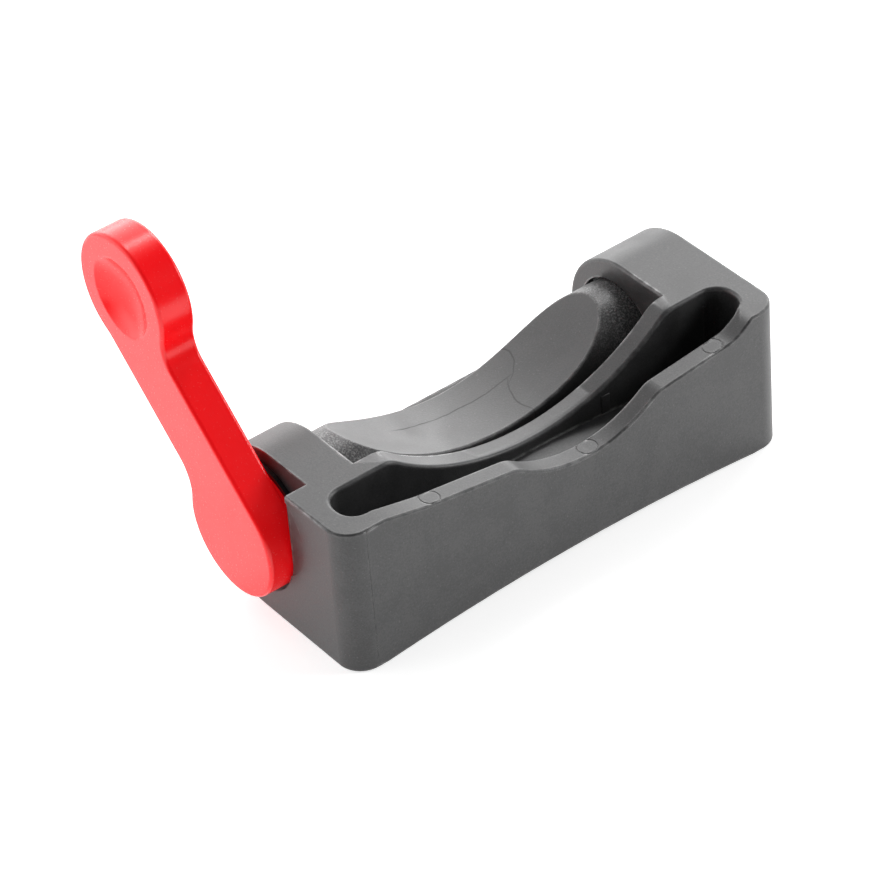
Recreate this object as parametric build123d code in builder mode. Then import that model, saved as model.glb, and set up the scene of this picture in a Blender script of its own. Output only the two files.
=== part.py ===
from build123d import *
import os
from math import cos, radians, sin, sqrt

# Saddle-cam clamp block, in millimetres.
# Origin: middle of the line between the two base screws, on the plane that the feet rest on.
# +X runs along the cam from the lever end to the plain end, +Y to the back, +Z up.

# ---- cutting shapes run past the faces that they open by this much ----
overshoot = 1.0

# ---- housing ----
length = 110.0
height = 34.8
depth = 47.9
front_to_screws = 17.0
front_corner_radius = 5.5
foot_length = 8.0
arch_rise = 2.4
rim_round = 0.5

# ---- cam axis, and the bay that the cam turns in ----
axis_y = 15.7
axis_z = 18.4
lug_length = 16.15
lug_rim_round = 0.6
trough_clearance = 1.8
lip_z = 12.8

# ---- two walls in front of the cam, and the pocket between them ----
front_wall = 4.5
inner_wall = 4.3
pocket_width = 8.9
pocket_end_wall = 5.1
pocket_corner_radius = 4.0
pocket_floor_z = 18.8
pocket_floor_radius = 220.0
pocket_rim_round = 0.8
seat_radius = 51.5
seat_x = 1.5
seat_above_axis = 3.1
seat_shoulder_round = 6.0
notch_radius = 28.7
notch_x = 4.8
notch_depth = 11.5
notch_half_width = 17.6
notch_corner_round = 6.0
left_shoulder_inset = 10.0
left_break_inset = 20.0
left_break_drop = 2.3
right_shoulder_inset = 7.5
right_break_inset = 12.0
right_break_drop = 3.2
shoulder_round = 8.0

# ---- recess for the lever in the left end ----
recess_clearance = 0.7
relief_radius = 11.7
relief_depth = 0.3
relief_ahead_of_axis = 6.95
relief_above_axis = 5.7

# ---- base screws go up into brass inserts ----
insert_from_end = 11.0
insert_radius = 3.5
insert_bore_radius = 2.1
insert_length = 14.0
insert_bore_depth = 12.0

# ---- cam ----
cam_radius = 10.8
saddle_depth = 11.7
saddle_x = 0.4
saddle_angle = 81.5
saddle_edge_round = 0.5
cam_end_chamfer = 0.6

# ---- bearings in the two lugs ----
running_clearance = 0.05
bush_wall = 0.5
bush_fit = 0.02
bush_setback = 1.4
lug_lip = 2.0
lip_clearance = 0.25
cam_end_float = 0.2
right_end_wall = 9.0

# ---- screw in the right end that holds the cam in ----
screw_radius = 3.0
screw_core_radius = 2.45
screw_hole_clearance = 0.35
screw_head_radius = 5.0
screw_head_height = 3.0
screw_head_round = 0.8
screw_key_width = 4.0
screw_key_depth = 1.7
screw_length = 14.0
counterbore_radius = 6.8
counterbore_depth = 5.4
washer_radius = 6.2
washer_thickness = 1.0
disc_spring_radius = 5.8
disc_spring_thickness = 0.5
disc_spring_rise = 0.35
cam_insert_radius = 4.2
cam_insert_bore_radius = 2.5
cam_insert_length = 12.0

# ---- lever ----
lever_thickness = 7.8
lever_proud = 4.5
boss_over_cam = 2.5
head_radius = 13.8
arm_angle = 43.4
arm_back_edge = 3.1
head_along = 50.4
head_across = 10.2
boss_blend = 9.0
neck_blend = 7.0
lever_edge_round = 0.8
dimple_radius = 8.8
dimple_depth = 3.2
dimple_edge_round = 0.5
lever_shoulder_height = 0.95
lever_hub_under_cam = 1.6

# ---- washer between the lever and the housing ----
thrust_washer_width = 1.9
thrust_washer_bore_clearance = 0.25
thrust_washer_thickness = 1.0
thrust_washer_float = 0.05
shoulder_inside_washer = 1.0

# ---- square shank that drives the cam, and the grub screw that holds it ----
shank_width = 9.0
shank_skin = 2.2
shank_reach = 18.4
shank_clearance = 0.05
shank_chamfer = 0.6
grub_radius = 2.5
grub_core_radius = 2.1
grub_setback = 1.3
grub_key_width = 2.5
grub_key_depth = 2.2
grub_insert_radius = 3.4
grub_insert_bore_radius = 2.15
grub_insert_setback = 0.8
grub_insert_gap = 0.5
grub_from_lug = 4.4

# ---- places that follow from the sizes above ----
half_length = length / 2
bay_length = length - 2 * lug_length
half_bay = bay_length / 2
insert_spacing = length - 2 * insert_from_end
front_y = -front_to_screws
back_y = front_y + depth
back_radius = height / 2
back_centre_y = back_y - back_radius
pocket_front_y = front_y + front_wall
pocket_back_y = pocket_front_y + pocket_width
pocket_middle_y = (pocket_front_y + pocket_back_y) / 2
bay_front_y = pocket_back_y + inner_wall
seat_z = axis_z + seat_above_axis
notch_z = height - notch_depth
trough_radius = cam_radius + trough_clearance
bush_bore_radius = cam_radius + running_clearance
bush_radius = bush_bore_radius + bush_wall
boss_radius = cam_radius + boss_over_cam
lip_radius = cam_radius + lip_clearance
thrust_washer_bore_radius = lip_radius + thrust_washer_bore_clearance
thrust_washer_radius = thrust_washer_bore_radius + thrust_washer_width
lever_shoulder_radius = thrust_washer_radius - shoulder_inside_washer
lever_hub_radius = cam_radius - lever_hub_under_cam
lever_stand_off = lever_shoulder_height + thrust_washer_thickness + thrust_washer_float
recess_depth = lever_thickness - lever_proud + lever_stand_off
recess_radius = boss_radius + recess_clearance
recess_front_y = axis_y - recess_radius
recess_floor_x = -half_length + recess_depth
left_bush_x = recess_floor_x + lug_lip
bore_end_x = half_length - right_end_wall
cam_left_x = recess_floor_x + cam_end_float
cam_right_x = bore_end_x - cam_end_float
lever_outer_x = -half_length - lever_proud
lever_inner_x = lever_outer_x + lever_thickness
thrust_washer_x = recess_floor_x - thrust_washer_float - thrust_washer_thickness
shank_left_x = lever_outer_x + shank_skin
shank_right_x = cam_left_x + shank_reach
counterbore_floor_x = half_length - counterbore_depth
half_shank = shank_width / 2
grub_x = -half_bay + grub_from_lug
grub_length = cam_radius - half_shank - grub_setback
grub_insert_length = cam_radius - half_shank - grub_insert_gap - grub_insert_setback


def across(x, angle=0.0):
    """Plane across the cam at x, with its own X turned by angle from +Y towards +Z."""
    turned = radians(angle)
    return Plane(origin=(x, axis_y, axis_z), x_dir=(0, cos(turned), sin(turned)), z_dir=(1, 0, 0))


def radial(x, angle, distance):
    """Plane that faces out from the cam axis along angle, at a distance from the axis."""
    turned = radians(angle)
    centre = (x, axis_y + distance * cos(turned), axis_z + distance * sin(turned))
    return Plane(origin=centre, x_dir=(1, 0, 0), z_dir=(0, cos(turned), sin(turned)))


def end_plane(x):
    """Plane across the block at x, with its own X along +Y and its own Y along +Z."""
    return Plane(origin=(x, 0, 0), x_dir=(0, 1, 0), z_dir=(1, 0, 0))


def front_plane(y):
    """Upright plane at y that faces the front, with its own X along +X and its own Y along +Z."""
    return Plane(origin=(0, y, 0), x_dir=(1, 0, 0), z_dir=(0, -1, 0))


def save(piece, name):
    """Label the finished piece and write it as a STEP file."""
    piece.part.label = name
    export_step(piece.part, f"parts/{name}.step")


os.makedirs("parts", exist_ok=True)

# ---- the space inside the pocket: straight sides and an arched floor ----
with BuildPart() as pocket_space:
    with BuildSketch(Plane.XY):
        with Locations((0, pocket_middle_y)):
            RectangleRounded(length - 2 * pocket_end_wall, pocket_width, pocket_corner_radius)
    extrude(amount=height + overshoot)
    with BuildSketch(front_plane(bay_front_y)):
        with Locations((0, pocket_floor_z - pocket_floor_radius)):
            Circle(pocket_floor_radius)
    extrude(amount=bay_front_y - front_y, mode=Mode.SUBTRACT)

# ---- housing: one moulding with a rounded back, cut away for the seats, the cam and the lever ----
with BuildPart() as housing:
    with BuildSketch(end_plane(-half_length)):
        with BuildLine():
            Polyline((back_centre_y, 0), (front_y, 0), (front_y, height), (back_centre_y, height))
            ThreePointArc((back_centre_y, height), (back_y, back_radius), (back_centre_y, 0))
        make_face()
    extrude(amount=length)
    fillet(housing.edges().filter_by(Axis.Z), front_corner_radius)

    # arched underside between the two feet
    with BuildSketch(front_plane(back_y)):
        with BuildLine():
            ThreePointArc(
                (foot_length - half_length, 0), (0, arch_rise), (half_length - foot_length, 0)
            )
            Line((half_length - foot_length, 0), (foot_length - half_length, 0))
        make_face()
    extrude(amount=depth, mode=Mode.SUBTRACT)

    # front wall: sloping shoulders that run down to a smaller round notch
    notch_drop = sqrt(notch_radius**2 - notch_half_width**2)
    notch_corner_z = notch_z + notch_radius - notch_drop
    left_corner = (notch_x - notch_half_width, notch_corner_z)
    right_corner = (notch_x + notch_half_width, notch_corner_z)
    with BuildSketch(front_plane(pocket_middle_y)) as shoulders:
        with BuildLine():
            Polyline(
                left_corner,
                (left_break_inset - half_length, height - left_break_drop),
                (left_shoulder_inset - half_length, height),
                (left_shoulder_inset - half_length, height + overshoot),
                (half_length - right_shoulder_inset, height + overshoot),
                (half_length - right_shoulder_inset, height),
                (half_length - right_break_inset, height - right_break_drop),
                right_corner,
            )
            ThreePointArc(left_corner, (notch_x, notch_z), right_corner)
        make_face()
        breaks = shoulders.vertices().sort_by(Axis.Y)[2:4]
        fillet(breaks, shoulder_round)
        notch_corners = shoulders.vertices().sort_by(Axis.Y)[:2]
        fillet(notch_corners, notch_corner_round)
    extrude(amount=pocket_middle_y - front_y + overshoot, mode=Mode.SUBTRACT)

    # rounded outer rims: both ends, the front wall's top and the front bottom edge
    rims = housing.edges().filter_by(Axis.Z, reverse=True)
    fillet(
        rims.filter_by_position(Axis.X, -half_length, -half_length)
        + rims.filter_by_position(Axis.X, half_length, half_length)
        + rims.filter_by_position(Axis.Y, front_y, front_y),
        rim_round,
    )

    # bay behind the inner wall, down to the lip, and the round trough that clears the cam
    with BuildSketch(end_plane(-half_bay)):
        with Locations((bay_front_y, lip_z)):
            Rectangle(depth, height, align=(Align.MIN, Align.MIN))
        with Locations((axis_y, axis_z)):
            Circle(trough_radius)
    extrude(amount=bay_length, mode=Mode.SUBTRACT)

    # softened inner rims of the two lugs
    lug_rims = housing.edges().filter_by(Axis.X, reverse=True)
    lug_rims = lug_rims.filter_by_position(Axis.Z, lip_z, height, (False, True))
    lug_rims = lug_rims.filter_by_position(Axis.Y, bay_front_y, back_y, (False, True))
    lug_rims = lug_rims.filter_by_position(Axis.X, -half_bay - overshoot, half_bay + overshoot)
    fillet(lug_rims, lug_rim_round)

    # pocket between the two walls
    add(pocket_space.part, mode=Mode.SUBTRACT)

    # seat in the inner wall, struck at the same radius as the saddle
    with BuildSketch(front_plane(bay_front_y + overshoot)) as seat:
        with Locations((seat_x, seat_z + seat_radius)):
            Circle(seat_radius)
        with Locations((0, height)):
            Rectangle(2 * length, seat_radius, align=(Align.CENTER, Align.MIN))
        corners = seat.vertices().filter_by_position(Axis.Y, height - overshoot, height + overshoot)
        fillet(corners.sort_by(Axis.X)[1:3], seat_shoulder_round)
        Rectangle(bay_length, 2 * (height + overshoot), mode=Mode.INTERSECT)
    extrude(amount=bay_front_y + overshoot - pocket_middle_y, mode=Mode.SUBTRACT)

    # softened rim of the pocket
    rims = housing.edges().filter_by(Axis.Z, reverse=True)
    rims = rims.filter_by_position(Axis.Z, seat_z, height)
    rims = rims.filter_by_position(Axis.Y, pocket_front_y, pocket_back_y)
    half_pocket = half_length - pocket_end_wall
    fillet(rims.filter_by_position(Axis.X, -half_pocket, half_pocket), pocket_rim_round)

    # recess for the lever: round below the boss, open at the top and at the back
    with BuildSketch(end_plane(-half_length)):
        with BuildLine():
            CenterArc((axis_y, axis_z), recess_radius, 180, 90)
            Polyline(
                (axis_y, axis_z - recess_radius),
                (back_y + overshoot, axis_z - recess_radius),
                (back_y + overshoot, height + overshoot),
                (recess_front_y, height + overshoot),
                (recess_front_y, axis_z),
            )
        make_face()
    extrude(amount=recess_depth, mode=Mode.SUBTRACT)

    # shallow round relief in front of the recess
    with BuildSketch(end_plane(-half_length)):
        with Locations((axis_y - relief_ahead_of_axis, axis_z + relief_above_axis)):
            Circle(relief_radius)
    extrude(amount=relief_depth, mode=Mode.SUBTRACT)

    # bores for the bushes: through the left lug behind a lip, blind in the right lug
    with BuildSketch(across(recess_floor_x)):
        Circle(lip_radius)
    extrude(amount=lug_lip, mode=Mode.SUBTRACT)
    for start, end in ((left_bush_x, -half_bay), (half_bay, bore_end_x)):
        with BuildSketch(across(start)):
            Circle(bush_radius + bush_fit)
        extrude(amount=end - start, mode=Mode.SUBTRACT)

    # counterbored hole for the cam's screw
    with BuildSketch(across(bore_end_x)):
        Circle(screw_radius + screw_hole_clearance)
    extrude(amount=right_end_wall, mode=Mode.SUBTRACT)
    with BuildSketch(across(counterbore_floor_x)):
        Circle(counterbore_radius)
    extrude(amount=counterbore_depth, mode=Mode.SUBTRACT)

    # holes for the base inserts
    with BuildSketch(Plane.XY):
        with GridLocations(insert_spacing, 0, 2, 1):
            Circle(insert_radius)
    extrude(amount=insert_length, mode=Mode.SUBTRACT)
save(housing, "housing")

# ---- brass inserts for the two base screws ----
with BuildPart() as base_inserts:
    with BuildSketch(Plane.XY):
        with GridLocations(insert_spacing, 0, 2, 1):
            Circle(insert_radius)
    extrude(amount=insert_length)
    with BuildSketch(Plane.XY):
        with GridLocations(insert_spacing, 0, 2, 1):
            Circle(insert_bore_radius)
    extrude(amount=insert_bore_depth, mode=Mode.SUBTRACT)
save(base_inserts, "base_inserts")

# ---- plain bushes, one in each lug ----
bush_spans = {
    "bush_left": (left_bush_x, -half_bay - bush_setback),
    "bush_right": (half_bay + bush_setback, bore_end_x),
}
for name, (start, end) in bush_spans.items():
    with BuildPart() as bush:
        with BuildSketch(across(start)):
            Circle(bush_radius)
            Circle(bush_bore_radius, mode=Mode.SUBTRACT)
        extrude(amount=end - start)
    save(bush, name)

# ---- cam: a round bar with a saddle across it ----
saddle_centre = cam_radius - saddle_depth + seat_radius
turned = radians(saddle_angle)
saddle_plane = Plane(
    origin=(saddle_x, axis_y + saddle_centre * cos(turned), axis_z + saddle_centre * sin(turned)),
    x_dir=(1, 0, 0),
    z_dir=(0, -sin(turned), cos(turned)),
)
grub_angle = saddle_angle - 90
with BuildPart() as cam:
    with BuildSketch(across(cam_left_x)):
        Circle(cam_radius)
    extrude(amount=cam_right_x - cam_left_x)
    chamfer(cam.edges().filter_by(GeomType.CIRCLE), cam_end_chamfer)
    with BuildSketch(saddle_plane):
        Circle(seat_radius)
    extrude(amount=cam_radius + overshoot, both=True, mode=Mode.SUBTRACT)
    saddle = cam.faces().filter_by(GeomType.CYLINDER).sort_by(lambda face: face.radius)[-1]
    fillet(saddle.edges(), saddle_edge_round)

    # square socket for the shank, and the hole for the grub screw
    with BuildSketch(across(cam_left_x, saddle_angle)):
        Rectangle(shank_width + 2 * shank_clearance, shank_width + 2 * shank_clearance)
    extrude(amount=shank_reach + shank_clearance, mode=Mode.SUBTRACT)
    with BuildSketch(radial(grub_x, grub_angle, half_shank)):
        Circle(grub_radius)
    extrude(amount=cam_radius, mode=Mode.SUBTRACT)
    with BuildSketch(radial(grub_x, grub_angle, half_shank + grub_insert_gap)):
        Circle(grub_insert_radius)
    extrude(amount=cam_radius, mode=Mode.SUBTRACT)

    # blind hole for the brass insert in the right end
    with BuildSketch(across(cam_right_x - cam_insert_length)):
        Circle(cam_insert_radius)
    extrude(amount=cam_insert_length, mode=Mode.SUBTRACT)
save(cam, "cam")

# ---- brass inserts in the cam ----
with BuildPart() as cam_insert:
    with BuildSketch(across(cam_right_x - cam_insert_length)):
        Circle(cam_insert_radius)
        Circle(cam_insert_bore_radius, mode=Mode.SUBTRACT)
    extrude(amount=cam_insert_length)
save(cam_insert, "cam_insert")

with BuildPart() as grub_insert:
    with BuildSketch(radial(grub_x, grub_angle, half_shank + grub_insert_gap)):
        Circle(grub_insert_radius)
        Circle(grub_insert_bore_radius, mode=Mode.SUBTRACT)
    extrude(amount=grub_insert_length)
save(grub_insert, "grub_insert")

# ---- grub screw: its tip bears on the shank ----
with BuildPart() as grub_screw:
    with BuildSketch(radial(grub_x, grub_angle, half_shank)):
        Circle(grub_core_radius)
    extrude(amount=grub_length)
    with BuildSketch(radial(grub_x, grub_angle, half_shank + grub_length)):
        RegularPolygon(grub_key_width / 2, 6, major_radius=False)
    extrude(amount=-grub_key_depth, mode=Mode.SUBTRACT)
save(grub_screw, "grub_screw")

# ---- steel square shank, moulded into the lever at one end ----
with BuildPart() as drive_shank:
    with BuildSketch(across(shank_left_x, saddle_angle)):
        Rectangle(shank_width, shank_width)
    extrude(amount=shank_right_x - shank_left_x)
    chamfer(drive_shank.faces().sort_by(Axis.X)[-1].edges(), shank_chamfer)
save(drive_shank, "drive_shank")

# ---- lever: flat arm with a round boss and a round head that has a finger dimple ----
dimple_sphere_radius = (dimple_radius**2 + dimple_depth**2) / (2 * dimple_depth)
with BuildPart() as lever:
    with BuildSketch(across(lever_outer_x, arm_angle)) as outline:
        Circle(boss_radius)
        with Locations((head_along, head_across)):
            Circle(head_radius)
        with Locations((0, -arm_back_edge)):
            Rectangle(head_along, arm_back_edge + boss_radius, align=(Align.MIN, Align.MIN))
        necks = outline.vertices().sort_by(Axis.X)[2:]
        fillet(necks, neck_blend)
        boss_corner = outline.vertices().sort_by(Axis.X)[1]
        fillet(boss_corner, boss_blend)
    extrude(amount=lever_thickness)
    fillet(lever.faces().sort_by(Axis.X)[0].edges(), lever_edge_round)
    fillet(lever.faces().sort_by(Axis.X)[-1].edges(), lever_edge_round)

    # finger dimple
    head_plane = across(lever_outer_x + dimple_depth - dimple_sphere_radius, arm_angle)
    with Locations(head_plane * Pos(head_along, head_across, 0)):
        Sphere(dimple_sphere_radius, mode=Mode.SUBTRACT)
    fillet(lever.faces().sort_by(Axis.X)[0].inner_wires()[0].edges(), dimple_edge_round)

    # shoulder that runs on the thrust washer, and hub that meets the end of the cam
    with BuildSketch(across(lever_inner_x)):
        Circle(lever_shoulder_radius)
    extrude(amount=thrust_washer_x - lever_inner_x)
    with BuildSketch(across(thrust_washer_x)):
        Circle(lever_hub_radius)
    extrude(amount=cam_left_x - thrust_washer_x)

    # the shank is moulded in
    with BuildSketch(across(shank_left_x, saddle_angle)):
        Rectangle(shank_width, shank_width)
    extrude(amount=cam_left_x - shank_left_x, mode=Mode.SUBTRACT)
save(lever, "lever")

with BuildPart() as thrust_washer:
    with BuildSketch(across(thrust_washer_x)):
        Circle(thrust_washer_radius)
        Circle(thrust_washer_bore_radius, mode=Mode.SUBTRACT)
    extrude(amount=thrust_washer_thickness)
save(thrust_washer, "thrust_washer")

# ---- screw, washer and disc spring in the right end: they pull the lever onto its washer ----
with BuildPart() as cam_washer:
    with BuildSketch(across(counterbore_floor_x)):
        Circle(washer_radius)
        Circle(screw_radius + screw_hole_clearance, mode=Mode.SUBTRACT)
    extrude(amount=washer_thickness)
save(cam_washer, "cam_washer")

spring_x = counterbore_floor_x + washer_thickness
head_x = spring_x + disc_spring_thickness + disc_spring_rise
with BuildPart() as disc_spring:
    with BuildSketch(Plane.XY):
        with BuildLine():
            Polyline(
                (spring_x, disc_spring_radius),
                (spring_x + disc_spring_thickness, disc_spring_radius),
                (head_x, screw_radius + screw_hole_clearance),
                (head_x - disc_spring_thickness, screw_radius + screw_hole_clearance),
                close=True,
            )
        make_face()
    revolve(axis=Axis.X)
disc_spring.part.location = Location((0, axis_y, axis_z))
save(disc_spring, "disc_spring")

with BuildPart() as cam_screw:
    with BuildSketch(across(head_x)):
        Circle(screw_head_radius)
    extrude(amount=screw_head_height)
    fillet(cam_screw.edges().filter_by(GeomType.CIRCLE).sort_by(Axis.X)[-1], screw_head_round)
    with BuildSketch(across(head_x + screw_head_height)):
        RegularPolygon(screw_key_width / 2, 6, major_radius=False)
    extrude(amount=-screw_key_depth, mode=Mode.SUBTRACT)
    with BuildSketch(across(head_x)):
        Circle(screw_radius)
    extrude(amount=cam_right_x + cam_end_float - head_x)
    with BuildSketch(across(head_x)):
        Circle(screw_core_radius)
    extrude(amount=-screw_length)
save(cam_screw, "cam_screw")
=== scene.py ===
import bmesh
import bpy
import math
from mathutils import Matrix, Vector
from mathutils.bvhtree import BVHTree


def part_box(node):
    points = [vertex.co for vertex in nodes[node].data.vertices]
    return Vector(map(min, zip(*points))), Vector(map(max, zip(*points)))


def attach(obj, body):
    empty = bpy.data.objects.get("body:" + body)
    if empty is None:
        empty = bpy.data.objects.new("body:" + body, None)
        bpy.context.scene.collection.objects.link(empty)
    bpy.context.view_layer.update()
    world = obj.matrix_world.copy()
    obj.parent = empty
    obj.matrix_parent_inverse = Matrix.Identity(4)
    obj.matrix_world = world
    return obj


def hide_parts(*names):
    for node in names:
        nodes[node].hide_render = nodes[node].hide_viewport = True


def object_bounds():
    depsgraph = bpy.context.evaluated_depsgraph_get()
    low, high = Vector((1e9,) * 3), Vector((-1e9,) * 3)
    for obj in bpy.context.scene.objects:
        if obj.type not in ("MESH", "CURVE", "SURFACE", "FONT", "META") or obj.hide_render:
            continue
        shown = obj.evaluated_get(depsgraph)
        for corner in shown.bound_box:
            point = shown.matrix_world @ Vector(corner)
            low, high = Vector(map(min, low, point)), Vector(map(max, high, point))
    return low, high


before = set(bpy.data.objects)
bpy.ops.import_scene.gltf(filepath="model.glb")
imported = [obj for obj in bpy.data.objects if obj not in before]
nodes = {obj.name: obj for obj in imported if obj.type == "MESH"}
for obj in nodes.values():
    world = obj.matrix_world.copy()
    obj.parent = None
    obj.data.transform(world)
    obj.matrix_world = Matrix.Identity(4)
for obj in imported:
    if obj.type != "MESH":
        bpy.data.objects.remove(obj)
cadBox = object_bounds()
mm = 0.001
white = (1, 1, 1, 1)
noiseMiddle = 0.5
midNoise = (0.35, 0.65)  # most of a noise lies between these
wideNoise = (0.3, 0.7)
bevelSamples = 4
edgeTurn = (0.992, 0.90)  # how alike the true and the rounded normal are: off an edge, and on it
print("frame loaded:", ", ".join(sorted(nodes)))


def newFinish(name):
    material = bpy.data.materials.new(name)
    material.use_nodes = True
    return material, material.node_tree, material.node_tree.nodes["Principled BSDF"]


def addNode(tree, kind, settings=None, **links):
    # Settings are plain values for the node's sockets, and links are sockets of other nodes.
    node = tree.nodes.new(kind)
    for socket, value in (settings or {}).items():
        node.inputs[socket].default_value = value
    for socket, source in links.items():
        tree.links.new(source, node.inputs[socket])
    return node


def addNoise(tree, place, size, detail=3, distortion=0, roughness=0.5):
    settings = {"Scale": 1 / size, "Detail": detail, "Distortion": distortion, "Roughness": roughness}
    return addNode(tree, "ShaderNodeTexNoise", settings, Vector=place).outputs["Fac"]


def addRange(tree, value, low, high, toLow=0.0, toHigh=1.0):
    settings = {"From Min": low, "From Max": high, "To Min": toLow, "To Max": toHigh}
    return addNode(tree, "ShaderNodeMapRange", settings, Value=value).outputs["Result"]


def addMath(tree, operation, first, second):
    node = tree.nodes.new("ShaderNodeMath")
    node.operation = operation
    for socket, value in zip(node.inputs, (first, second)):
        if isinstance(value, (int, float)):
            socket.default_value = value
        else:
            tree.links.new(value, socket)
    return node.outputs[0]


def plus(tree, first, second):
    return addMath(tree, "ADD", first, second)


def minus(tree, first, second):
    return addMath(tree, "SUBTRACT", first, second)


def times(tree, first, second):
    return addMath(tree, "MULTIPLY", first, second)


def addMix(tree, share, first, second):
    node = tree.nodes.new("ShaderNodeMix")
    node.data_type = "RGBA"
    tree.links.new(share, node.inputs["Factor"])
    for socket, colour in ((node.inputs[6], first), (node.inputs[7], second)):
        if isinstance(colour, tuple):
            socket.default_value = (*colour, 1)
        else:
            tree.links.new(colour, socket)
    return node.outputs[2]


def addBevel(tree, radius):
    bevel = addNode(tree, "ShaderNodeBevel", {"Radius": radius})
    bevel.samples = bevelSamples
    return bevel.outputs[0]


def addEdges(tree, place, width, patch):
    # 1 along sharp edges and 0 elsewhere, broken up by a noise of the given patch size
    rounded = addBevel(tree, width)
    normal = tree.nodes.new("ShaderNodeNewGeometry").outputs["Normal"]
    likeness = tree.nodes.new("ShaderNodeVectorMath")
    likeness.operation = "DOT_PRODUCT"
    tree.links.new(rounded, likeness.inputs[0])
    tree.links.new(normal, likeness.inputs[1])
    edge = addRange(tree, likeness.outputs["Value"], *edgeTurn)
    return times(tree, edge, addRange(tree, addNoise(tree, place, patch), *midNoise))


def addBumps(tree, shader, layers, softEdge):
    # Each layer is a height socket with a depth in metres and a strength, over edges that softEdge rounds.
    normal = addBevel(tree, softEdge)
    for height, (depth, strength) in layers:
        bump = addNode(tree, "ShaderNodeBump", {"Distance": depth, "Strength": strength}, Height=height)
        tree.links.new(normal, bump.inputs["Normal"])
        normal = bump.outputs["Normal"]
    tree.links.new(normal, shader.inputs["Normal"])


def objectPlace(tree):
    return tree.nodes.new("ShaderNodeTexCoord").outputs["Object"]


def addObject(name, data):
    added = bpy.data.objects.new(name, data)
    bpy.context.scene.collection.objects.link(added)
    return added


# The view turns about a point near the middle of the block. Angles are in degrees.
cameraLook = {
    "aim": (0, 3 * mm, 17 * mm),
    "azimuth": -35.04,
    "elevation": 38.89,
    "roll": -4.8,
    "distance": 869.05 * mm,
    "slide": (-13.284 * mm, 0.014 * mm),
    "lens": 177.12,  # millimetres, as Blender gives it, and so is the sensor
    "sensor": 36,
    "clip": 50 * mm,
}


def makeCamera(look):
    around, up = math.radians(look["azimuth"]), math.radians(look["elevation"])
    back = Vector((math.sin(around) * math.cos(up), -math.cos(around) * math.cos(up), math.sin(up)))
    right = Vector((0, 0, 1)).cross(back).normalized()
    above = back.cross(right)
    roll = math.radians(look["roll"])
    rolledRight = math.cos(roll) * right + math.sin(roll) * above
    rolledAbove = -math.sin(roll) * right + math.cos(roll) * above
    slideX, slideY = look["slide"]
    place = Vector(look["aim"]) + slideX * rolledRight + slideY * rolledAbove + back * look["distance"]
    turn = Matrix((rolledRight, rolledAbove, back)).transposed().to_4x4()
    camera = addObject("camera", bpy.data.cameras.new("camera"))
    camera.matrix_world = Matrix.Translation(place) @ turn
    camera.data.lens = look["lens"]
    camera.data.sensor_width = look["sensor"]
    camera.data.clip_start = look["clip"]
    bpy.context.scene.camera = camera


# The room is dark in front of the block and bright behind it, most of all low down.
# Directions run from -1 to 1 along each axis.
roomLook = {
    "front": 0.08,
    "backLow": 4.4,
    "backHigh": 1.1,
    "turn": (-0.1, 0.45),  # Y, from dark front to bright back
    "rise": (0.10, 0.90),  # Z, from backLow to backHigh
    "side": (0.0, 0.65),  # X, from sideDim to full
    "sideDim": 0.55,
}

softboxes = {
    # name: place, size, watts
    "rightHigh": ((0.43, 0.37, 0.75), 0.24, 2.2),
    "rightFloor": ((0.55, -0.35, 0.35), 0.3, 2.2),
}

# The floor is a lit table, so the shadow on it stays faint.
floorLook = {"size": 3.0, "colour": (0.90, 0.90, 0.90), "rough": 0.9, "glow": 0.67}


def makeRoom(look):
    world = bpy.data.worlds.new("studio")
    world.use_nodes = True
    tree = world.node_tree
    direction = tree.nodes.new("ShaderNodeTexCoord").outputs["Generated"]
    parts = addNode(tree, "ShaderNodeSeparateXYZ", Vector=direction)
    backward = addRange(tree, parts.outputs["Y"], *look["turn"])
    glow = addRange(tree, parts.outputs["Z"], *look["rise"], look["backLow"], look["backHigh"])
    sideways = addRange(tree, parts.outputs["X"], *look["side"], look["sideDim"], 1.0)
    strength = times(tree, times(tree, backward, glow), sideways)
    strength = plus(tree, strength, look["front"])
    tree.links.new(strength, tree.nodes["Background"].inputs["Strength"])
    tree.nodes["Background"].inputs["Color"].default_value = white
    bpy.context.scene.world = world


def makeSoftboxes(look):
    for name, (place, size, watts) in look.items():
        light = bpy.data.lights.new(name, "AREA")
        light.size = size
        light.energy = watts
        softbox = addObject(name, light)
        softbox.location = place
        softbox.rotation_mode = "QUATERNION"
        softbox.rotation_quaternion = Vector(place).to_track_quat("Z", "Y")


def makeFloor(look):
    half = look["size"] / 2
    corners = [(-half, -half, 0), (half, -half, 0), (half, half, 0), (-half, half, 0)]
    mesh = bpy.data.meshes.new("floor")
    mesh.from_pydata(corners, [], [(0, 1, 2, 3)])
    material, _, shader = newFinish("paleFloor")
    shader.inputs["Base Color"].default_value = (*look["colour"], 1)
    shader.inputs["Roughness"].default_value = look["rough"]
    shader.inputs["Emission Color"].default_value = white
    shader.inputs["Emission Strength"].default_value = look["glow"]
    mesh.materials.append(material)
    floor = addObject("floor", mesh)
    floor.location.z = cadBox[0].z


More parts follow.
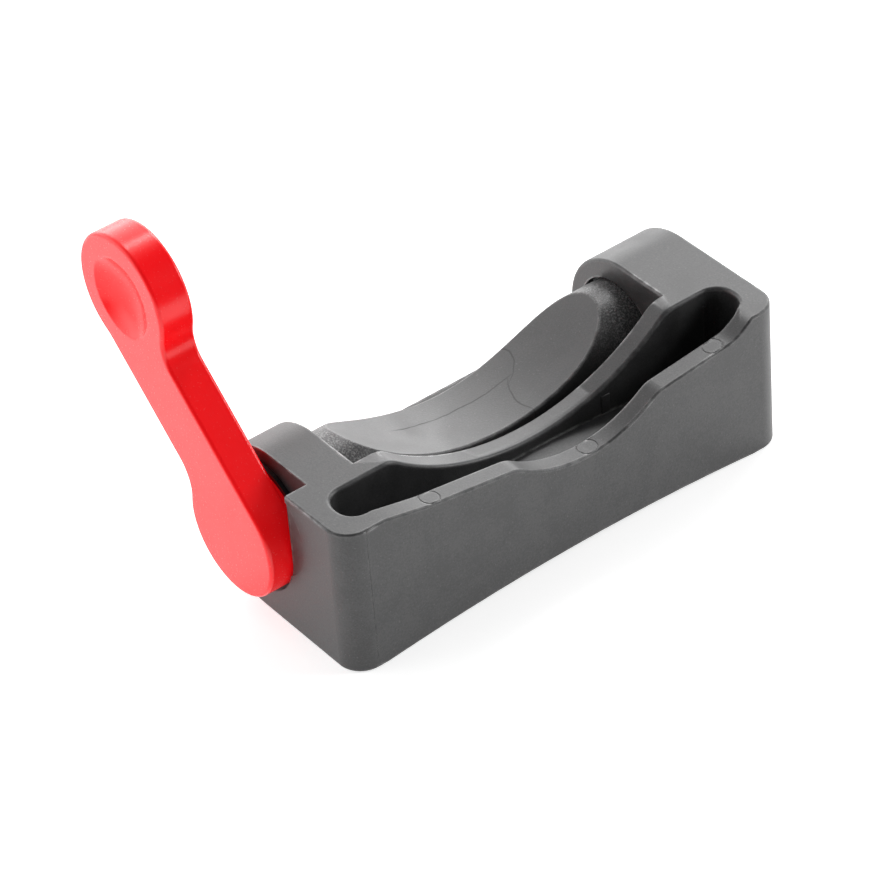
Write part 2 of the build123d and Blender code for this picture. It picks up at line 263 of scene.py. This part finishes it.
# In every finish below, a noise is its lump size and detail, then its distortion and roughness
# where they are set. A bump is a depth and a strength. An edge is the worn band's width and the
# size of its patches. Rough runs from the smoothest to the roughest place.
housingPlastic = {
    "dark": (0.030, 0.030, 0.031),
    "light": (0.054, 0.054, 0.055),
    "fleck": (0.13, 0.13, 0.13),
    "worn": (0.42, 0.42, 0.42),
    "mottle": (9 * mm, 5),
    "flow": (26 * mm, 2, 2.5),
    "grain": (0.35 * mm, 2),
    "flecks": (0.45 * mm, 0),
    "mottleShare": 0.5,
    "flowShare": 0.5,
    "grainShare": 0.6,
    "contrast": (0.38, 0.62),
    "fleckPeaks": (0.76, 0.82),  # only the highest parts of their noise show
    "fleckShare": 0.4,
    "edge": (0.9 * mm, 2.2 * mm),
    "edgeShare": 0.85,
    "edgePolish": 0.08,
    "grainBump": (0.032 * mm, 0.6),
    "mottleBump": (0.08 * mm, 0.25),
    "soft": 0.25 * mm,
    "rough": (0.36, 0.48),
    "gloss": 1.58,
}

pocketPlastic = {**housingPlastic, "worn": (0.06, 0.06, 0.06)}  # its edges are out of reach of wear


def makeMouldedPlastic(name, look, marks=None):
    # marks(tree, place, look) gives two shares at each point: a weld line's, and a frosted patch's that is
    # also a painted highlight
    material, tree, shader = newFinish(name)
    place = objectPlace(tree)
    mottle = addNoise(tree, place, *look["mottle"])
    flow = addNoise(tree, place, *look["flow"])
    grain = addNoise(tree, place, *look["grain"])
    flecks = addRange(tree, addNoise(tree, place, *look["flecks"]), *look["fleckPeaks"])
    edges = addEdges(tree, place, *look["edge"])
    cloud = plus(tree, times(tree, mottle, look["mottleShare"]), times(tree, flow, look["flowShare"]))
    speckle = plus(tree, cloud, times(tree, minus(tree, grain, noiseMiddle), look["grainShare"]))
    colour = addMix(tree, addRange(tree, speckle, *look["contrast"]), look["dark"], look["light"])
    colour = addMix(tree, times(tree, flecks, look["fleckShare"]), colour, look["fleck"])
    colour = addMix(tree, times(tree, edges, look["edgeShare"]), colour, look["worn"])
    rough = addRange(tree, cloud, *midNoise, *look["rough"])
    rough = minus(tree, rough, times(tree, edges, look["edgePolish"]))
    layers = [(grain, look["grainBump"]), (mottle, look["mottleBump"])]
    if marks:
        weld, frostAndPaintedHighlight = marks(tree, place, look)
        colour = addMix(tree, times(tree, weld, look["weldShare"]), colour, look["weld"])
        # Frosted patches: partly the frost's own lighter tone, partly a painted highlight on the bar's
        # ends.
        colour = addMix(tree, frostAndPaintedHighlight, colour, look["frostAndPaintedHighlight"])
        rough = plus(tree, rough, times(tree, weld, look["weldRough"]))
        layers += [(minus(tree, 1, weld), look["weldBump"]), (frostAndPaintedHighlight, look["frostBump"])]
    tree.links.new(colour, shader.inputs["Base Color"])
    tree.links.new(rough, shader.inputs["Roughness"])
    addBumps(tree, shader, layers, look["soft"])
    shader.inputs["IOR"].default_value = look["gloss"]
    return material


# The cam is moulded like the housing, with two marks on its bar. Weld lines show where two flows
# of plastic met: one runs along the saddle and two bend across it. Frosted patches lie at the ends;
# their colour is lighter than the frost alone, so they are also a painted highlight there.
# Along is x, and across is the distance from the cam's axis, square to x and positive to the front.
camPlastic = {
    **housingPlastic,
    "dark": (0.036, 0.036, 0.037),
    "light": (0.056, 0.056, 0.057),
    "axis": (15.7 * mm, 18.4 * mm),
    "tilt": 81.5,
    "weld": (0.012, 0.012, 0.012),
    "weldShare": 0.6,
    "weldRough": 0.25,
    "weldBump": (0.03 * mm, 0.4),
    "lineWidth": 0.3 * mm,
    "lineFade": 1.5 * mm,
    "wobble": (4 * mm, 3),
    "wander": 1.2 * mm,
    # name: along at the middle, across at the middle, bend per metre, lowest and highest across
    "crossLines": {
        "front": (8.0 * mm, 8.0 * mm, 34, -2.0 * mm, 12 * mm),
        "back": (17.0 * mm, -8.5 * mm, -102, -12 * mm, 0.0 * mm),
    },
    "longLine": (-2.5 * mm, -17 * mm, 12.6 * mm),  # across, then lowest and highest along
    # The frost colour is lighter than frosted plastic alone: partly its own tone, partly a painted
    # highlight.
    "frostAndPaintedHighlight": (0.27, 0.27, 0.27),
    "frostEnds": (22 * mm, 34 * mm),  # along, where it starts and where it is full
    "frostGrain": (0.4 * mm, 3, 0, 0.7),
    "frostPeaks": (0.46, 0.68),
    "frostBump": (0.04 * mm, 0.5),
    "barRadius": (10.45 * mm, 10.75 * mm),  # the frost lies on the bar's outside only
}


def camMarks(tree, place, look):
    parts = addNode(tree, "ShaderNodeSeparateXYZ", Vector=place)
    along, y, z = parts.outputs["X"], parts.outputs["Y"], parts.outputs["Z"]
    axisY, axisZ = look["axis"]
    tilt = math.radians(look["tilt"])
    fromY, fromZ = minus(tree, y, axisY), minus(tree, z, axisZ)
    across = plus(tree, times(tree, fromY, -math.sin(tilt)), times(tree, fromZ, math.cos(tilt)))
    square = plus(tree, addMath(tree, "POWER", fromY, 2), addMath(tree, "POWER", fromZ, 2))
    onBar = addRange(tree, addMath(tree, "POWER", square, 0.5), *look["barRadius"])
    wobble = minus(tree, addNoise(tree, place, *look["wobble"]), noiseMiddle)
    wobble = times(tree, wobble, look["wander"])

    def between(value, low, high):
        fade = look["lineFade"]
        rising = addRange(tree, value, low - fade, low + fade)
        return times(tree, rising, addRange(tree, value, high + fade, high - fade))

    def line(distance, reach):
        near = addRange(tree, addMath(tree, "ABSOLUTE", distance, 0), look["lineWidth"], 0)
        return times(tree, near, reach)

    level, left, right = look["longLine"]
    distance = plus(tree, minus(tree, across, level), wobble)
    weld = line(distance, between(along, left, right))
    for at, middle, bend, low, high in look["crossLines"].values():
        square = addMath(tree, "POWER", minus(tree, across, middle), 2)
        curve = plus(tree, times(tree, square, bend), at)
        distance = plus(tree, minus(tree, along, curve), wobble)
        weld = addMath(tree, "MAXIMUM", weld, line(distance, between(across, low, high)))
    # The frosted share, which also carries a painted highlight, fills the bar's ends.
    ends = addRange(tree, addMath(tree, "ABSOLUTE", along, 0), *look["frostEnds"])
    grain = addRange(tree, addNoise(tree, place, *look["frostGrain"]), *look["frostPeaks"])
    return weld, times(tree, times(tree, ends, onBar), grain)


leverPlastic = {
    "deep": (0.92, 0.0030, 0.0055),
    "bright": (1.0, 0.0045, 0.0085),
    "worn": (1.0, 0.22, 0.20),
    "mottle": (14 * mm, 2),
    "ripple": (5 * mm, 1),
    "dust": (0.5 * mm, 2),
    "edge": (0.35 * mm, 2 * mm),
    "edgeShare": 0.25,
    "rippleBump": (0.05 * mm, 0.2),
    "dustBump": (0.002 * mm, 0.3),
    "soft": 0.2 * mm,
    "rough": (0.20, 0.28),
    "gloss": 1.5,
    # glow is painted light: the lever gives off its own bright red, though it is no lamp
    "glow": 0.22,
}


def makeGlossPlastic(name, look):
    material, tree, shader = newFinish(name)
    place = objectPlace(tree)
    mottle = addNoise(tree, place, *look["mottle"])
    ripple = addNoise(tree, place, *look["ripple"])
    dust = addNoise(tree, place, *look["dust"])
    edges = addEdges(tree, place, *look["edge"])
    colour = addMix(tree, addRange(tree, mottle, *midNoise), look["deep"], look["bright"])
    colour = addMix(tree, times(tree, edges, look["edgeShare"]), colour, look["worn"])
    tree.links.new(colour, shader.inputs["Base Color"])
    # Painted light: the lever glows with its bright red, as if lit, though it is no lamp.
    shader.inputs["Emission Color"].default_value = (*look["bright"], 1)
    shader.inputs["Emission Strength"].default_value = look["glow"]
    tree.links.new(addRange(tree, dust, *wideNoise, *look["rough"]), shader.inputs["Roughness"])
    layers = [(ripple, look["rippleBump"]), (dust, look["dustBump"])]
    addBumps(tree, shader, layers, look["soft"])
    shader.inputs["IOR"].default_value = look["gloss"]
    return material


bearingPlastic = {
    "dark": (0.012, 0.012, 0.013),
    "light": (0.024, 0.024, 0.025),
    "worn": (0.12, 0.12, 0.12),
    "mottle": (4 * mm, 3),
    "fine": (0.4 * mm, 2),
    "edge": (0.25 * mm, 2 * mm),
    "edgeShare": 0.5,
    "fineBump": (0.004 * mm, 0.4),
    "soft": 0.1 * mm,
    "rough": (0.26, 0.38),
}


def makeBearingPlastic(name, look):
    material, tree, shader = newFinish(name)
    place = objectPlace(tree)
    mottle = addNoise(tree, place, *look["mottle"])
    fine = addNoise(tree, place, *look["fine"])
    colour = addMix(tree, addRange(tree, mottle, *midNoise), look["dark"], look["light"])
    edges = addEdges(tree, place, *look["edge"])
    colour = addMix(tree, times(tree, edges, look["edgeShare"]), colour, look["worn"])
    tree.links.new(colour, shader.inputs["Base Color"])
    tree.links.new(addRange(tree, fine, *wideNoise, *look["rough"]), shader.inputs["Roughness"])
    addBumps(tree, shader, [(fine, look["fineBump"])], look["soft"])
    return material


turnedMetal = {
    "stretch": (1, 0.12, 0.12),  # draws the noise out into fine lines round the axis
    "lines": (0.12 * mm, 3),
    "stains": (3 * mm, 4),
    "stainPeaks": (0.55, 0.75),
    "stainShare": 0.6,
    "edge": (0.2 * mm, 2 * mm),
    "edgeShare": 0.6,
    "lineBump": (0.004 * mm, 0.5),
    "soft": 0.1 * mm,
    "rough": (0.22, 0.38),
}

insertBrass = {
    **turnedMetal,
    "dark": (0.62, 0.42, 0.16),
    "light": (0.83, 0.62, 0.29),
    "stain": (0.30, 0.19, 0.08),
}

stainlessSteel = {
    **turnedMetal,
    "dark": (0.50, 0.50, 0.49),
    "light": (0.68, 0.68, 0.67),
    "stain": (0.33, 0.32, 0.31),
}


def makeMetal(name, look):
    material, tree, shader = newFinish(name)
    place = objectPlace(tree)
    stretched = addNode(tree, "ShaderNodeMapping", {"Scale": look["stretch"]}, Vector=place)
    lines = addNoise(tree, stretched.outputs["Vector"], *look["lines"])
    stain = addRange(tree, addNoise(tree, place, *look["stains"]), *look["stainPeaks"])
    colour = addMix(tree, lines, look["dark"], look["light"])
    colour = addMix(tree, times(tree, stain, look["stainShare"]), colour, look["stain"])
    edges = addEdges(tree, place, *look["edge"])
    colour = addMix(tree, times(tree, edges, look["edgeShare"]), colour, look["light"])
    tree.links.new(colour, shader.inputs["Base Color"])
    tree.links.new(addRange(tree, lines, *wideNoise, *look["rough"]), shader.inputs["Roughness"])
    addBumps(tree, shader, [(lines, look["lineBump"])], look["soft"])
    shader.inputs["Metallic"].default_value = 1
    return material


def coatPiece(piece, material):
    piece.data.materials.clear()
    piece.data.materials.append(material)


def finishNodes(names, material):
    for name in names:
        coatPiece(nodes[name], material)


def meshFrom(name, shape):
    mesh = bpy.data.meshes.new(name)
    shape.to_mesh(mesh)
    shape.free()
    return mesh


# The housing is copied so that mould marks can be cut into it: ejector-pin rings on the front
# wall's top, and the seam that the mould left down the front's left end.
housingMarks = {
    "pins": (-32.7 * mm, 5.9 * mm, 38.6 * mm),
    "pinRadius": 2.1 * mm,
    "pinLine": 0.22 * mm,
    "pinDepth": 0.1 * mm,
    "pinSteps": 48,
    "seamInset": 5.5 * mm,
    "seamWidth": 0.14 * mm,
    "seamDepth": 0.05 * mm,
    "frontWall": 4.5 * mm,
    "weldGap": 0.001 * mm,
    "flatAngle": 0.3,
    "sharpAngle": 30,
    "flatWeight": 50,
}


def weldedCopy(name, node, gap):
    mesh = nodes[node].data.copy()
    mesh.name = name
    shape = bmesh.new()
    shape.from_mesh(mesh)
    bmesh.ops.remove_doubles(shape, verts=shape.verts, dist=gap)
    shape.to_mesh(mesh)
    shape.free()
    return addObject(name, mesh)


def topOf(node, x, y):
    # the highest point of a node over x, y, and the way that its surface faces there
    mesh = nodes[node].data
    tree = BVHTree.FromPolygons([v.co for v in mesh.vertices], [p.vertices for p in mesh.polygons])
    point, normal, _, _ = tree.ray_cast(Vector((x, y, 1)), Vector((0, 0, -1)))
    return point, normal


def addRing(shape, place, outer, inner, depth, steps):
    # a closed ring of square section, centred on the place's own XY plane
    rows = []
    for radius, height in ((outer, depth), (outer, -depth), (inner, -depth), (inner, depth)):
        row = []
        for step in range(steps):
            angle = 2 * math.pi * step / steps
            corner = Vector((radius * math.cos(angle), radius * math.sin(angle), height))
            row.append(shape.verts.new(place @ corner))
        rows.append(row)
    for row, following in zip(rows, rows[1:] + rows[:1]):
        for step in range(steps):
            after = (step + 1) % steps
            shape.faces.new((row[step], row[after], following[after], following[step]))


def addBar(shape, centre, size):
    place = Matrix.Translation(centre) @ Matrix.Diagonal((*size, 1))
    bmesh.ops.create_cube(shape, size=1, matrix=place)


def facing(point, normal):
    return Matrix.Translation(point) @ normal.to_track_quat("Z", "X").to_matrix().to_4x4()


def cutAway(piece, cutter):
    cut = piece.modifiers.new("marks", "BOOLEAN")
    cut.object = cutter
    cut.operation = "DIFFERENCE"
    cut.solver = "EXACT"
    bpy.context.view_layer.update()
    evaluated = piece.evaluated_get(bpy.context.evaluated_depsgraph_get())
    mesh = bpy.data.meshes.new_from_object(evaluated)
    piece.modifiers.clear()
    piece.data = mesh
    bpy.data.objects.remove(cutter)


def mergeFlats(piece, angle):
    # The triangles of one flat face become one polygon, so the shading stays even across it.
    shape = bmesh.new()
    shape.from_mesh(piece.data)
    bmesh.ops.dissolve_limit(
        shape,
        angle_limit=math.radians(angle),
        verts=shape.verts,
        edges=shape.edges,
        delimit={"NORMAL"},
    )
    shape.to_mesh(piece.data)
    shape.free()


def smoothByAngle(piece, angle):
    piece.data.shade_smooth()
    piece.data.set_sharp_from_angle(angle=math.radians(angle))


def makeMarkCutter(marks):
    low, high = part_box("housing")
    shape = bmesh.new()
    for x in marks["pins"]:
        point, normal = topOf("housing", x, low.y + marks["frontWall"] / 2)
        outer = marks["pinRadius"] + marks["pinLine"] / 2
        inner = outer - marks["pinLine"]
        addRing(shape, facing(point, normal), outer, inner, marks["pinDepth"], marks["pinSteps"])
    # The seam's bar is centred on the front face, so half of it cuts, and it is longer than the face.
    size = (marks["seamWidth"], 2 * marks["seamDepth"], 2 * (high.z - low.z))
    addBar(shape, Vector((low.x + marks["seamInset"], low.y, (low.z + high.z) / 2)), size)
    bmesh.ops.recalc_face_normals(shape, faces=shape.faces)
    return addObject("housingCutter", meshFrom("housingCutter", shape))


def makeHousing(marks, material):
    cutter = makeMarkCutter(marks)
    piece = weldedCopy("housingMarked", "housing", marks["weldGap"])
    cutAway(piece, cutter)
    mergeFlats(piece, marks["flatAngle"])
    smoothByAngle(piece, marks["sharpAngle"])
    shading = piece.modifiers.new("shading", "WEIGHTED_NORMAL")
    shading.keep_sharp = True
    shading.weight = marks["flatWeight"]
    coatPiece(piece, material)
    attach(piece, "block")
    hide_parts("housing")


# Moulded pads stand on the inner wall, inside the pocket, and are sunk a little way into it.
pocketPads = {
    "wallY": -3.6 * mm,
    "proud": 0.15 * mm,
    "sunk": 0.2 * mm,
    "round": 0.12 * mm,
    "roundSteps": 3,
    "sharpAngle": 40,
    # name: middle along x, width, lowest and highest z
    "pads": {
        "pocketPad": (19.7 * mm, 2.2 * mm, 18 * mm, 22.4 * mm),
        "pocketRib": (46.0 * mm, 0.9 * mm, 17 * mm, 31 * mm),
    },
}


def makePocketPads(look, material):
    for name, (middle, width, low, high) in look["pads"].items():
        shape = bmesh.new()
        centre = Vector((middle, look["wallY"] + (look["sunk"] - look["proud"]) / 2, (low + high) / 2))
        addBar(shape, centre, (width, look["proud"] + look["sunk"], high - low))
        bmesh.ops.bevel(
            shape,
            geom=shape.edges,
            offset=look["round"],
            segments=look["roundSteps"],
            affect="EDGES",
            profile=0.5,  # a round, not a flat or a hollow
        )
        piece = addObject(name, meshFrom(name, shape))
        smoothByAngle(piece, look["sharpAngle"])
        coatPiece(piece, material)
        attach(piece, "block")


makeCamera(cameraLook)
makeRoom(roomLook)
makeSoftboxes(softboxes)
makeFloor(floorLook)
print("camera and studio made")

housingGrey = makeMouldedPlastic("housingGrey", housingPlastic)
pocketGrey = makeMouldedPlastic("pocketGrey", pocketPlastic)
camGrey = makeMouldedPlastic("camGrey", camPlastic, camMarks)
leverRed = makeGlossPlastic("leverRed", leverPlastic)
acetalBlack = makeBearingPlastic("acetalBlack", bearingPlastic)
brass = makeMetal("brass", insertBrass)
stainless = makeMetal("stainless", stainlessSteel)
makeHousing(housingMarks, housingGrey)
makePocketPads(pocketPads, pocketGrey)
print("housing marked")
finishNodes(["cam"], camGrey)
finishNodes(["lever"], leverRed)
finishNodes(["bush_left", "bush_right", "thrust_washer"], acetalBlack)
finishNodes(["base_inserts", "cam_insert", "grub_insert"], brass)
finishNodes(["grub_screw", "drive_shank", "cam_washer", "disc_spring", "cam_screw"], stainless)
print("finishes made")

bpy.context.scene.view_settings.view_transform = "Standard"
